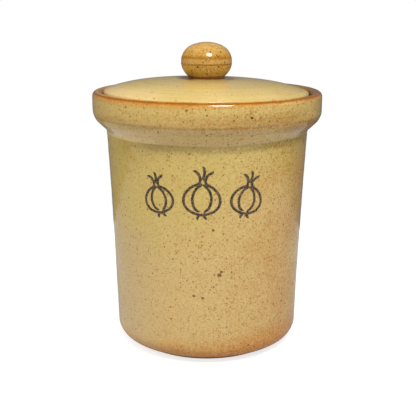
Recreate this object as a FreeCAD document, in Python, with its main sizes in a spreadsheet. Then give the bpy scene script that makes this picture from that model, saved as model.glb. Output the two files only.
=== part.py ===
"""Stoneware onion canister: a turned jar with a rolled collar, a domed drop-in lid and its ball knob.

Millimetres, +Z up. The origin is the centre of the foot ring, on the surface that the jar stands on,
and +Z is the axis that all three pieces were turned about.

The lid drops into the gallery, a ledge turned inside the collar, and a skirt under the lid keeps it
central in the mouth. The knob is a hollow ball, made by itself and luted to a flat pad on the lid.
"""

import FreeCAD
import Part

import math
import os
from types import SimpleNamespace

import Sketcher

# Every size that can be set by itself. Each radius is an outer one unless its name says otherwise.
SIZES = {
    # The jar's wall, from the rim down to the foot
    "jar_height": 202.0,
    "neck_radius": 79.2,
    "waist_height": 90.0,
    "waist_taper": 4.3,
    "heel_taper": 6.4,
    "heel_height": 7.9,
    "heel_round": 11.0,
    "heel_bevel": 13.9,
    "foot_width": 10.0,
    "foot_recess": 1.8,
    "foot_round": 0.8,
    "wall_thickness": 7.5,
    "floor_thickness": 8.0,
    "floor_round": 12.0,
    # The collar, and the gallery inside it
    "collar_depth": 19.6,
    "flare_height": 9.8,
    "cove_round": 5.0,
    "belly_round": 12.0,
    "lip_thickness": 8.5,
    "lip_round": 3.2,
    "lip_inner_round": 5.0,
    "gallery_depth": 8.0,
    "gallery_round": 1.5,
    "ledge_width": 9.8,
    "mouth_round": 1.5,
    # The lid
    "lid_clearance": 1.2,
    "lid_edge_height": 8.1,
    "lid_edge_round": 3.0,
    "lid_seat_round": 1.2,
    "lid_thickness": 6.5,
    "crown_height": 18.4,
    "crown_curve": 390.0,
    "shoulder_width": 30.3,
    "skirt_clearance": 1.0,
    "skirt_thickness": 5.0,
    "skirt_depth": 7.5,
    "skirt_round": 2.0,
    "pad_margin": 1.0,
    "vent_radius": 1.5,
    # The knob
    "knob_radius": 19.8,
    "knob_neck_inset": 6.5,
    "knob_drop": 12.7,
    "knob_rise": 15.3,
    "knob_fullness": 0.85,
    "knob_wall": 6.0,
    "belt_inset": 0.2,
}

SHEET = "Sizes"


class At:
    """How the sketcher numbers its own axes, the points of an edge and the poles of a curve."""

    ACROSS_AXIS = -1
    TURNING_AXIS = -2
    START = 1
    END = 2
    CENTRE = 3
    ORIGIN = (ACROSS_AXIS, START)
    MIDDLE_POLE = 1


class Length:
    """A value in millimetres, together with the sheet expression that gives it."""

    def __init__(self, value, text):
        self.value = value
        self.text = text

    def __add__(self, other):
        return Length(self.value + other.value, f"{self.text} + {other.text}")

    def __sub__(self, other):
        return Length(self.value - other.value, f"{self.text} - ({other.text})")

    def __mul__(self, other):
        return Length(self.value * other.value, f"({self.text}) * ({other.text})")


NOTHING = Length(0.0, "0")


def make_sheet(doc):
    """Fill the spreadsheet, and hand its sizes and the fits between the pieces to the modellers."""
    sheet = doc.addObject("Spreadsheet::Sheet", SHEET)
    for row, (name, value) in enumerate(SIZES.items(), start=1):
        sheet.set(f"A{row}", name)
        sheet.set(f"B{row}", str(value))
        sheet.setAlias(f"B{row}", name)
    doc.recompute()
    size = SimpleNamespace(**{name: Length(value, f"{SHEET}.{name}") for name, value in SIZES.items()})

    size.collar_height = size.jar_height - size.collar_depth
    size.neck_height = size.collar_height - size.flare_height
    size.waist_radius = size.neck_radius - size.waist_taper
    size.heel_radius = size.neck_radius - size.heel_taper
    size.foot_radius = size.heel_radius - size.heel_bevel
    size.foot_inner_radius = size.foot_radius - size.foot_width
    size.floor_height = size.foot_recess + size.floor_thickness
    size.mouth_radius = size.neck_radius - size.wall_thickness
    size.gallery_radius = size.mouth_radius + size.ledge_width
    size.collar_radius = size.gallery_radius + size.lip_thickness
    size.seat_height = size.jar_height - size.gallery_depth
    size.lid_radius = size.gallery_radius - size.lid_clearance
    size.skirt_radius = size.mouth_radius - size.skirt_clearance
    size.knob_neck_radius = size.knob_radius - size.knob_neck_inset
    size.pad_radius = size.knob_neck_radius + size.pad_margin
    return size


def vector(place):
    """A point of an outline as the sketch takes it."""
    return FreeCAD.Vector(*place, 0)


def arc_about(centre, start, end):
    """The shorter arc from one point to another, about a centre that lies equally far from both."""
    radius = math.dist(centre, start)
    halfway = [(a + b) / 2 - c for a, b, c in zip(start, end, centre)]
    reach = radius / math.hypot(*halfway)
    middle = [c + h * reach for c, h in zip(centre, halfway)]
    return Part.Arc(vector(start), vector(middle), vector(end))


def flowing_curve(start, pull, end):
    """A long shallow curve, drawn towards the point pull on its way."""
    curve = Part.BSplineCurve()
    curve.buildFromPolesMultsKnots([vector(start), vector(pull), vector(end)], [3, 3], [0.0, 1.0], False, 2)
    return curve


class Outline:
    """A closed outline in a body's XZ plane, pinned to the sheet and drawn from edge to edge."""

    def __init__(self, body, name):
        self.sketch = body.newObject("Sketcher::SketchObject", name)
        plane = next(item for item in body.Origin.OriginFeatures if item.Role == "XZ_Plane")
        self.sketch.AttachmentSupport = [(plane, "")]
        self.sketch.MapMode = "FlatFace"
        self.edges = []

    def bind(self, kind, where, length, name):
        """A named measure, driven by its sheet expression."""
        index = self.sketch.addConstraint(Sketcher.Constraint(kind, *where, length.value))
        self.sketch.renameConstraint(index, name)
        self.sketch.setExpression(f"Constraints.{name}", length.text)

    def pin_across(self, edge, end, length, name):
        """Hold a point at a radius, or on the turning axis."""
        if length is NOTHING:
            self.sketch.addConstraint(Sketcher.Constraint("PointOnObject", edge, end, At.TURNING_AXIS))
        else:
            self.bind("DistanceX", (*At.ORIGIN, edge, end), length, name + "_radius")

    def pin_up(self, edge, end, length, name):
        """Hold a point at a height, or on the body's own base plane."""
        if length is NOTHING:
            self.sketch.addConstraint(Sketcher.Constraint("PointOnObject", edge, end, At.ACROSS_AXIS))
        else:
            self.bind("DistanceY", (*At.ORIGIN, edge, end), length, name + "_height")

    def pin(self, edge, end, corner):
        name, across, up = corner
        self.pin_across(edge, end, across, name)
        self.pin_up(edge, end, up, name)

    def add(self, shape, start):
        """Add an edge that leaves the point start, and return its number and its two ends in order."""
        edge = self.sketch.addGeometry(shape, False)
        first = self.sketch.getPoint(edge, At.START)
        last = self.sketch.getPoint(edge, At.END)
        forward = math.dist((first.x, first.y), start) < math.dist((last.x, last.y), start)
        self.edges.append((edge, At.START, At.END) if forward else (edge, At.END, At.START))
        return self.edges[-1]

    def join(self, tangent=()):
        """Close the outline. Edges whose place is in tangent run smoothly into the next one."""
        for place, (edge, _, end) in enumerate(self.edges):
            following, start, _ = self.edges[(place + 1) % len(self.edges)]
            kind = "Tangent" if place in tangent else "Coincident"
            self.sketch.addConstraint(Sketcher.Constraint(kind, edge, end, following, start))

    def pin_pull(self, edge, pull):
        """Pin the point that a flowing curve is drawn towards."""
        poles_before = self.sketch.GeometryCount
        self.sketch.exposeInternalGeometry(edge)
        self.pin(poles_before + At.MIDDLE_POLE, At.CENTRE, pull)

    def polygon(self, corners, pulls=None):
        """Draw corner after corner. An edge listed in pulls flows towards the point given there."""
        pulls = pulls or {}
        places = [(across.value, up.value) for _, across, up in corners]
        for index, corner in enumerate(corners):
            start, end = places[index], places[(index + 1) % len(places)]
            pull = pulls.get(corner[0])
            if pull:
                shape = flowing_curve(start, (pull[1].value, pull[2].value), end)
            else:
                shape = Part.LineSegment(vector(start), vector(end))
            edge, first, _ = self.add(shape, start)
            self.pin(edge, first, corner)
        self.join()
        for index, corner in enumerate(corners):
            if corner[0] in pulls:
                self.pin_pull(self.edges[index][0], pulls[corner[0]])


def turn(body, outline, name, kind="PartDesign::Revolution"):
    """Spin an outline about the turning axis, to add clay or to take it away."""
    feature = body.newObject(kind, name)
    feature.Profile = outline.sketch
    feature.ReferenceAxis = (outline.sketch, ["V_Axis"])
    feature.Angle = 360
    outline.sketch.Visibility = False
    return feature


def check_cut(body, name):
    """A cut that takes nothing away shows no error, so its volume is compared with what it cuts."""
    feature = body.Document.getObject(name)
    before, after = feature.BaseFeature.Shape.Volume, feature.Shape.Volume
    if not 0 < after < before:
        raise RuntimeError(f"{name} cut nothing: {before:.1f} mm3 before, {after:.1f} mm3 after")


def vent(body, name, radius, depth):
    """A round hole upwards from the body's base plane, about the turning axis."""
    sketch = body.newObject("Sketcher::SketchObject", name + "Sketch")
    plane = next(item for item in body.Origin.OriginFeatures if item.Role == "XY_Plane")
    sketch.AttachmentSupport = [(plane, "")]
    sketch.MapMode = "FlatFace"
    circle = sketch.addGeometry(Part.Circle(FreeCAD.Vector(0, 0, 0), FreeCAD.Vector(0, 0, 1), radius.value))
    sketch.addConstraint(Sketcher.Constraint("Coincident", circle, At.CENTRE, *At.ORIGIN))
    index = sketch.addConstraint(Sketcher.Constraint("Radius", circle, radius.value))
    sketch.renameConstraint(index, "vent_radius")
    sketch.setExpression("Constraints.vent_radius", radius.text)
    hole = body.newObject("PartDesign::Pocket", name)
    hole.Profile = sketch
    hole.Type = "Length"
    hole.setExpression("Length", depth.text)
    hole.Reversed = True
    sketch.Visibility = False
    body.Document.recompute()
    check_cut(body, name)


def ring_edge(shape, radius, height):
    """The name of the circular edge at a radius and height."""
    nearest = min(
        range(len(shape.Edges)),
        key=lambda i: math.hypot(
            shape.Edges[i].BoundBox.XMax - radius,
            shape.Edges[i].BoundBox.ZMin - height,
            shape.Edges[i].BoundBox.ZMax - height,
            shape.Edges[i].BoundBox.XMin + radius,
        ),
    )
    return f"Edge{nearest + 1}"


def soften(body, name, radius, *corners):
    """Round the ring edges that stand at these corners of the section."""
    body.Document.recompute()
    base = body.Tip
    edges = [ring_edge(base.Shape, across.value, up.value) for across, up in corners]
    fillet = body.newObject("PartDesign::Fillet", name)
    fillet.Base = (base, edges)
    fillet.setExpression("Radius", radius.text)


def make_jar(doc, size):
    """The jar: a solid turned outside, then hollowed, then relieved under the foot and softened."""
    jar = doc.addObject("PartDesign::Body", "StonewareJar")
    jar.Label = "stoneware_jar"

    outside = Outline(jar, "JarOutside")
    outside.polygon(
        [
            ("base", NOTHING, NOTHING),
            ("foot", size.foot_radius, NOTHING),
            ("heel", size.heel_radius, size.heel_height),
            ("neck", size.neck_radius, size.neck_height),
            ("collar", size.collar_radius, size.collar_height),
            ("rim", size.collar_radius, size.jar_height),
            ("top", NOTHING, size.jar_height),
        ],
        pulls={"heel": ("waist", size.waist_radius, size.waist_height)},
    )
    turn(jar, outside, "JarTurned")
    doc.recompute()

    inside = Outline(jar, "JarInside")
    inside.polygon(
        [
            ("floor", NOTHING, size.floor_height),
            ("floor_edge", size.heel_radius - size.wall_thickness, size.floor_height),
            ("throat", size.mouth_radius, size.neck_height),
            ("mouth", size.mouth_radius, size.seat_height),
            ("ledge", size.gallery_radius, size.seat_height),
            ("lip", size.gallery_radius, size.jar_height),
            ("brim", NOTHING, size.jar_height),
        ],
        pulls={"floor_edge": ("belly", size.waist_radius - size.wall_thickness, size.waist_height)},
    )
    turn(jar, inside, "JarHollow", "PartDesign::Groove")
    doc.recompute()
    check_cut(jar, "JarHollow")

    under = Outline(jar, "FootRecessOutline")
    under.polygon(
        [
            ("middle", NOTHING, NOTHING),
            ("ring", size.foot_inner_radius, NOTHING),
            ("ring_top", size.foot_inner_radius, size.foot_recess),
            ("middle_top", NOTHING, size.foot_recess),
        ]
    )
    turn(jar, under, "FootRecess", "PartDesign::Groove")
    doc.recompute()
    check_cut(jar, "FootRecess")

    soften(jar, "HeelRound", size.heel_round, (size.heel_radius, size.heel_height))
    soften(jar, "CoveRound", size.cove_round, (size.neck_radius, size.neck_height))
    soften(jar, "BellyRound", size.belly_round, (size.collar_radius, size.collar_height))
    soften(jar, "LipRound", size.lip_round, (size.collar_radius, size.jar_height))
    soften(jar, "LipInnerRound", size.lip_inner_round, (size.gallery_radius, size.jar_height))
    soften(jar, "GalleryRound", size.gallery_round, (size.gallery_radius, size.seat_height))
    soften(jar, "MouthRound", size.mouth_round, (size.mouth_radius, size.seat_height))
    floor_edge = (size.heel_radius - size.wall_thickness, size.floor_height)
    soften(jar, "FloorRound", size.floor_round, floor_edge)
    foot_edges = ((size.foot_radius, NOTHING), (size.foot_inner_radius, NOTHING))
    soften(jar, "FootRound", size.foot_round, *foot_edges)
    return jar


def draw_lid(lid, size):
    """The lid's section: two smooth arcs above, the same two a thickness further in underneath."""
    outline = Outline(lid, "LidSection")
    sketch = outline.sketch

    pad = (size.pad_radius.value, size.crown_height.value)
    crown_radius = size.crown_curve.value
    crown_centre = (0.0, pad[1] - math.sqrt(crown_radius**2 - pad[0] ** 2))
    turn_radius = size.lid_radius - size.shoulder_width
    lean = turn_radius.value / crown_radius
    upright = math.sqrt(1 - lean**2)
    brink = (turn_radius.value, crown_centre[1] + crown_radius * upright)
    edge = (size.lid_radius.value, size.lid_edge_height.value)
    reach = (brink[0] - edge[0], brink[1] - edge[1])
    shoulder_radius = (reach[0] ** 2 + reach[1] ** 2) / (2 * (reach[0] * lean + reach[1] * upright))
    shoulder_centre = (brink[0] - shoulder_radius * lean, brink[1] - shoulder_radius * upright)

    thickness = size.lid_thickness.value
    skirt_inner = size.skirt_radius - size.skirt_thickness
    rise = math.sqrt((shoulder_radius - thickness) ** 2 - (skirt_inner.value - shoulder_centre[0]) ** 2)
    inner_root = (skirt_inner.value, shoulder_centre[1] + rise)
    inner_brink = (brink[0] - thickness * lean, brink[1] - thickness * upright)
    inner_top = (0.0, crown_centre[1] + crown_radius - thickness)
    hem = (skirt_inner.value, -size.skirt_depth.value)

    def line(start, end):
        shape = Part.LineSegment(vector(start), vector(end))
        return outline.add(shape, start)[0]

    top = (0.0, pad[1])
    seat = (edge[0], 0.0)
    root = (size.skirt_radius.value, 0.0)
    skirt_foot = (root[0], hem[1])
    pad_line = line(top, pad)
    crown = outline.add(arc_about(crown_centre, pad, brink), pad)[0]
    shoulder = outline.add(arc_about(shoulder_centre, brink, edge), brink)[0]
    edge_line = line(edge, seat)
    seat_line = line(seat, root)
    skirt_line = line(root, skirt_foot)
    hem_line = line(skirt_foot, hem)
    inner_line = line(hem, inner_root)
    inner_shoulder = outline.add(arc_about(shoulder_centre, inner_root, inner_brink), inner_root)[0]
    inner_crown = outline.add(arc_about(crown_centre, inner_brink, inner_top), inner_brink)[0]
    axis_line = line(inner_top, top)
    outline.join(tangent={crown, inner_shoulder})

    outline.pin(pad_line, At.START, ("top", NOTHING, size.crown_height))
    outline.pin(pad_line, At.END, ("pad", size.pad_radius, size.crown_height))
    sketch.addConstraint(Sketcher.Constraint("PointOnObject", crown, At.CENTRE, At.TURNING_AXIS))
    outline.bind("Radius", (crown,), size.crown_curve, "crown_curve")
    outline.pin_across(shoulder, At.END, turn_radius, "brink")
    outline.pin(edge_line, At.START, ("edge", size.lid_radius, size.lid_edge_height))
    outline.pin(seat_line, At.START, ("seat", size.lid_radius, NOTHING))
    outline.pin(skirt_line, At.START, ("root", size.skirt_radius, NOTHING))
    hem_depth = NOTHING - size.skirt_depth
    outline.pin(hem_line, At.START, ("skirt", size.skirt_radius, hem_depth))
    outline.pin(inner_line, At.START, ("hem", skirt_inner, hem_depth))
    outline.pin_across(inner_line, At.END, skirt_inner, "inner_root")
    for inner, outer in ((inner_crown, crown), (inner_shoulder, shoulder)):
        sketch.addConstraint(Sketcher.Constraint("Coincident", inner, At.CENTRE, outer, At.CENTRE))
    outline.bind("Radius", (inner_crown,), size.crown_curve - size.lid_thickness, "inner_curve")
    sketch.addConstraint(Sketcher.Constraint("PointOnObject", axis_line, At.START, At.TURNING_AXIS))
    return outline, skirt_inner


def make_lid(doc, size):
    """The lid, in its own frame: its seat is the base plane, and the body is placed on the ledge."""
    lid = doc.addObject("PartDesign::Body", "Lid")
    lid.Label = "lid"
    outline, skirt_inner = draw_lid(lid, size)
    turn(lid, outline, "LidTurned")
    doc.recompute()
    vent(lid, "LidVent", size.vent_radius, size.crown_height)
    soften(lid, "LidEdgeRound", size.lid_edge_round, (size.lid_radius, size.lid_edge_height))
    soften(lid, "LidSeatRound", size.lid_seat_round, (size.lid_radius, NOTHING))
    hem_depth = NOTHING - size.skirt_depth
    hem_edges = ((size.skirt_radius, hem_depth), (skirt_inner, hem_depth))
    soften(lid, "SkirtRound", size.skirt_round, *hem_edges)
    lid.setExpression(".Placement.Base.z", size.seat_height.text)
    return lid


def draw_knob(knob, size):
    """The knob's section: an under arc, a narrow flat belt, a side arc and a crown arc."""
    outline = Outline(knob, "KnobSection")
    sketch = outline.sketch

    waist = size.knob_drop.value
    widest = size.knob_radius.value
    neck = (size.knob_neck_radius.value, 0.0)
    inset = size.knob_neck_inset.value
    under_radius = (inset**2 + waist**2) / (2 * inset)
    under_centre = (widest - under_radius, waist)
    side = size.knob_rise * size.knob_fullness
    side_centre = (widest - side.value, waist)
    rise = size.knob_rise.value
    spare = 2 * (rise - side.value)
    crown_radius = (side_centre[0] ** 2 + rise**2 - side.value**2) / spare
    crown_centre = (0.0, waist + rise - crown_radius)
    reach = side.value / (crown_radius - side.value)
    meeting = [s + (s - c) * reach for s, c in zip(side_centre, crown_centre)]
    top = (0.0, waist + rise)
    belt = size.knob_radius - size.belt_inset

    def belt_end(centre, radius, direction):
        drop = math.sqrt(radius**2 - (belt.value - centre[0]) ** 2)
        return (belt.value, centre[1] + direction * drop)

    belt_foot = belt_end(under_centre, under_radius, -1)
    belt_top = belt_end(side_centre, side.value, 1)

    def line(start, end):
        shape = Part.LineSegment(vector(start), vector(end))
        return outline.add(shape, start)

    foot_line, _, foot_end = line((0.0, 0.0), neck)
    under, _, under_end = outline.add(arc_about(under_centre, neck, belt_foot), neck)
    line(belt_foot, belt_top)
    side_arc = outline.add(arc_about(side_centre, belt_top, meeting), belt_top)[0]
    crown, _, crown_end = outline.add(arc_about(crown_centre, meeting, top), meeting)
    line(top, (0.0, 0.0))
    outline.join(tangent={side_arc})

    outline.pin(foot_line, foot_end, ("neck", size.knob_neck_radius, NOTHING))
    sketch.addConstraint(Sketcher.Constraint("Coincident", foot_line, At.START, *At.ORIGIN))
    outline.pin_up(under, At.CENTRE, size.knob_drop, "under_centre")
    outline.pin_across(under, under_end, belt, "belt")
    sketch.addConstraint(Sketcher.Constraint("Vertical", under + 1))
    outline.pin_up(side_arc, At.CENTRE, size.knob_drop, "side_centre")
    outline.bind("Radius", (side_arc,), side, "side_round")
    sketch.addConstraint(Sketcher.Constraint("PointOnObject", crown, At.CENTRE, At.TURNING_AXIS))
    outline.pin(crown, crown_end, ("crown", NOTHING, size.knob_drop + size.knob_rise))
    widest_point = sketch.addGeometry(Part.Point(vector((widest, waist))), True)
    outline.pin(widest_point, At.START, ("widest", size.knob_radius, size.knob_drop))
    for arc in (under, side_arc):
        sketch.addConstraint(Sketcher.Constraint("PointOnObject", widest_point, At.START, arc))
    return outline


def make_knob(doc, size):
    """The knob, in its own frame: its foot is the base plane, and the body is placed on the pad."""
    knob = doc.addObject("PartDesign::Body", "LidKnob")
    knob.Label = "lid_knob"
    turn(knob, draw_knob(knob, size), "KnobTurned")
    doc.recompute()

    hollow = knob.newObject("PartDesign::SubtractiveSphere", "KnobHollow")
    hollow.setExpression("Radius", (size.knob_rise - size.knob_wall).text)
    hollow.setExpression(".Placement.Base.z", size.knob_drop.text)
    doc.recompute()
    check_cut(knob, "KnobHollow")
    vent(knob, "KnobVent", size.vent_radius, size.knob_drop)
    knob.setExpression(".Placement.Base.z", (size.seat_height + size.crown_height).text)
    return knob


def check_document(doc, pieces):
    """Every object has to be sound, and every piece one valid solid, before anything is written."""
    for item in doc.Objects:
        if {"Invalid", "Error"} & set(item.State):
            raise RuntimeError(f"{item.Name} failed: {item.State}")
    for piece in pieces:
        shape = piece.Shape
        if shape.isNull() or not shape.isValid() or len(shape.Solids) != 1:
            raise RuntimeError(f"{piece.Label} is not one valid solid")


def main():
    doc = FreeCAD.newDocument("OnionCanister")
    size = make_sheet(doc)
    pieces = [make_jar(doc, size), make_lid(doc, size), make_knob(doc, size)]
    doc.recompute()
    check_document(doc, pieces)
    os.makedirs("parts", exist_ok=True)
    for piece in pieces:
        piece.Shape.exportStep(f"parts/{piece.Label}.step")
        box = piece.Shape.BoundBox
        print(f"{piece.Label}: {piece.Shape.Volume:.0f} mm3, z {box.ZMin:.2f} to {box.ZMax:.2f}, "
              f"radius {box.XMax:.2f}")


main()
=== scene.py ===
"""Stoneware onion canister, dressed: a speckled glazed jar, its domed lid and its ball knob.

Metres, +Z up, -Y towards the decorated front. Every piece is turned about the Z axis, as on a wheel,
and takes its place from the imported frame. Inside the materials, lengths are in millimetres.
"""

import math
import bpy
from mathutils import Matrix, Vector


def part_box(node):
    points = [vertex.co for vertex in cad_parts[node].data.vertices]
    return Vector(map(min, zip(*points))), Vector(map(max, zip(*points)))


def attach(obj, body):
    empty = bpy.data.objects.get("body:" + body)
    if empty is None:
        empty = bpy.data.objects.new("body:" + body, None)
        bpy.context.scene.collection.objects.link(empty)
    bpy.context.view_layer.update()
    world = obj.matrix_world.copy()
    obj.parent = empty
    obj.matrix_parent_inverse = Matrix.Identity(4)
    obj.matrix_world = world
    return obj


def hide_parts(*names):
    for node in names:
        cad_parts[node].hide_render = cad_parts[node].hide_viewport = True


bl_info = {
    "name": "Stoneware Canister",
    "version": (1, 0, 0),
    "blender": (4, 5, 0),
    "location": "3D View > Sidebar > Canister",
    "description": "Builds a glazed stoneware storage jar with its lid, knob, drawn onions and studio",
    "category": "Add Mesh",
}

import bmesh
import bpy
from mathutils import Matrix, Vector, noise
from mathutils.bvhtree import BVHTree
from mathutils.geometry import interpolate_bezier

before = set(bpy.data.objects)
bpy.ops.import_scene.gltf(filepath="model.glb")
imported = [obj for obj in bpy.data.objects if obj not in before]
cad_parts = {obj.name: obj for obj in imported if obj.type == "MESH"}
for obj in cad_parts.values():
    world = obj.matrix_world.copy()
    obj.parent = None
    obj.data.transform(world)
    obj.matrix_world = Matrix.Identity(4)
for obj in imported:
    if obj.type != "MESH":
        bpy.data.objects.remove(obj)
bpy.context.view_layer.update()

MM = 0.001
JAR_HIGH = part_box("stoneware_jar")[1]
LID_LOW, LID_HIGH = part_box("lid")
KNOB_LOW, KNOB_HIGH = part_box("lid_knob")

# How finely the pieces are made: steps round the axis and round a corner, and the longest run
TURN_STEPS = 160
ROUND_STEPS = 7
LONGEST_RUN = 2.2 * MM
LONGEST_KNOB_RUN = 1.2 * MM
MERGE = 1e-6

# The marks of the fingers: their spacing, their depth, and the hub round the axis that has none
MARK_SPACING = 5 * MM
JAR_MARK_DEPTH = 0.13 * MM
KNOB_MARK_DEPTH = 0.02 * MM
MARK_FREE_HUB = 10 * MM


def shade(red, green, blue):
    """A colour as it looks on screen, turned into the linear values that a shader takes."""
    return tuple(((c / 255 + 0.055) / 1.055) ** 2.4 for c in (red, green, blue))


def length(name, description, millimetres):
    return bpy.props.FloatProperty(
        name=name, description=description, default=millimetres * MM,
        unit="LENGTH", subtype="DISTANCE", precision=5,
    )


def colour(name, description, red, green, blue):
    return bpy.props.FloatVectorProperty(
        name=name, description=description, default=shade(red, green, blue),
        size=3, min=0, max=1, subtype="COLOR",
    )


class CanisterSizes(bpy.types.PropertyGroup):
    """The sizes of the turned sections that the frame's boxes don't give."""

    foot_radius: length("Foot radius", "Outer radius of the flat foot ring", 58.9)
    foot_width: length("Foot width", "Width of the flat foot ring", 10)
    foot_recess: length("Foot recess", "Depth of the relieved base inside the foot ring", 1.8)
    foot_round: length("Foot rounding", "Radius that softens the foot ring", 0.8)
    heel_radius: length("Heel radius", "Radius where the heel's bevel meets the wall", 73.2)
    heel_height: length("Heel height", "Height where the heel's bevel meets the wall", 7.9)
    heel_round: length("Heel rounding", "Radius that rounds the heel", 11)
    waist_hollow: length("Waist hollow", "How far the wall is drawn in half way up", 0.55)
    neck_radius: length("Neck radius", "Radius of the wall under the collar", 79.4)
    cove_round: length("Cove rounding", "Radius of the cove under the collar", 5)
    collar_drop: length("Collar depth", "From the rim down to the collar's lower edge", 19.6)
    flare_height: length("Flare height", "Height of the sloped underside of the collar", 10.1)
    belly_round: length("Collar rounding", "Radius of the collar's lower edge", 12)
    wall: length("Wall thickness", "Thickness of the jar's wall", 7.5)
    floor_height: length("Floor height", "Height of the inside floor", 9.8)
    floor_round: length("Floor rounding", "Radius between the inside floor and the wall", 12)
    lip_width: length("Lip width", "Thickness of the collar at the lip", 8.5)
    lip_round: length("Lip rounding", "Radius of the lip's outer edge", 3.8)
    lip_inner_round: length("Lip inner rounding", "Radius of the lip's inner edge", 4.6)
    lip_rise: length("Lip rise", "How much higher the lip is drawn than the frame's", 0.3)
    gallery_depth: length("Gallery depth", "From the rim down to the ledge that the lid sits on", 8.3)
    ledge_round: length("Ledge rounding", "Radius of the gallery's corners", 1.5)
    lid_radius: length("Lid radius", "Outer radius of the lid", 80.6)
    lid_sink: length("Lid sink", "How far the crown has sunk in the kiln", 0.95)
    lid_edge: length("Lid edge height", "Height of the lid's edge above its seat", 8.1)
    lid_edge_round: length("Lid edge rounding", "Radius of the lid's upper edge", 3)
    lid_thickness: length("Lid thickness", "Thickness of the lid's dome", 6.5)
    crown_curve: length("Crown curve", "Radius of the lid's shallow crown", 500)
    brink_radius: length("Brink radius", "Where the crown turns into the lid's shoulder", 50)
    pad_radius: length("Pad radius", "Radius of the flat pad under the knob", 14.3)
    skirt_radius: length("Skirt radius", "Outer radius of the skirt under the lid", 70.7)
    skirt_width: length("Skirt width", "Thickness of the skirt under the lid", 5)
    skirt_round: length("Skirt rounding", "Radius of the skirt's lower edge", 2)
    lid_warp: length("Lid warp", "How far one side of the dome stands above the other, each way", 0.8)
    lid_shift: length("Lid shift", "How far the lid sits off centre in its play", 0.7)
    vent_radius: length("Vent radius", "Radius of the hole under the knob", 1.5)
    knob_swell: length("Knob swell", "How much fuller the knob is than the frame's", 0.35)
    knob_sink: length("Knob sink", "How much flatter the top of the knob is than the frame's", 0.1)
    knob_foot: length("Knob foot", "Radius of the knob where it stands on the lid", 14.2)
    knob_foot_height: length("Knob foot height", "Height of the upright foot under the knob", 2)
    knob_waist: length("Knob waist", "Height of the knob's widest point above the pad", 12.85)
    knob_under: length("Knob under curve", "Radius of the curve from the foot to the belt", 14)
    knob_side: length("Knob side curve", "Radius of the curve above the belt", 13.85)
    belt_below: length("Belt below", "How far the knob's belt reaches below its widest point", 1.65)
    belt_above: length("Belt above", "How far the knob's belt reaches above its widest point", 3.25)
    belt_step: length("Belt step", "How far the belt stands out at its upper edge", 0.18)
    link_length: length("Dab length", "Length of one dab of the drawn line", 3.1)
    link_width: length("Dab width", "Width of one dab of the drawn line", 1.25)
    link_step: length("Dab step", "Distance from one dab to the next", 0.95)
    link_proud: length("Dab height", "How far a dab stands proud of the glaze", 0.12)


class CanisterColours(bpy.types.PropertyGroup):
    """The colours of the clay, the glaze and the ink, as they look on screen."""

    olive: colour("Olive glaze", "Glaze where it lies thick, high on the wall", 205, 178, 98)
    # Moss is painted shade: on the wall just under the collar, and on the collar's far right
    moss_shade: colour("Moss glaze", "The deepest glaze, right under the collar", 150, 126, 60)
    sand: colour("Sand glaze", "Glaze where it lies thin, low on the wall", 211, 178, 113)
    # Straw is also laid as painted light: a highlight along the milky hem on the left, and on the lid's
    # left shoulder
    straw_and_sheen: colour("Straw fleck", "The palest flecks in the glaze", 230, 202, 140)
    honey: colour("Honey glaze", "Glaze pooled on the lid", 216, 188, 120)
    amber: colour("Amber glaze", "Glaze on the knob", 187, 141, 50)
    milk: colour("Milky glaze", "Glaze that has gathered under the collar", 222, 188, 126)
    flash: colour("Kiln flash", "Where the flame has warmed the glaze", 198, 146, 76)
    peach: colour("Peach glaze", "Thin glaze on the top of the lip", 182, 118, 44)
    toast: colour("Toasted glaze", "Where the glaze thins out at the heel", 195, 125, 42)
    rust: colour("Rust break", "Iron that shows where the glaze runs thin over an edge", 180, 104, 4)
    # Umber is also laid as painted shade: under the collar, on the lip's right, in the gallery and on
    # the lid beside the knob
    umber_and_shade: colour("Umber line", "The darkest iron beside an edge", 112, 66, 16)
    # Speck is also laid as painted shade, on the wall's far right and inside the collar
    speck: colour("Iron speck", "Small specks of iron in the clay", 136, 84, 8)
    # Spot is also laid as painted shade, deep in the gallery
    spot: colour("Dark spot", "The few large spots of iron", 92, 50, 0)
    # Clay is also laid as a pale painted sheen low on the wall's left
    clay: colour("Bare clay", "Unglazed clay of the foot and of the seats", 205, 178, 140)
    ink: colour("Ink", "The dark line of the drawings", 46, 36, 26)
    ink_worn: colour("Worn ink", "The drawn line where the glaze has bitten into it", 116, 94, 62)
    floor: colour("Floor", "The pale table and backdrop", 198, 198, 196)


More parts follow.
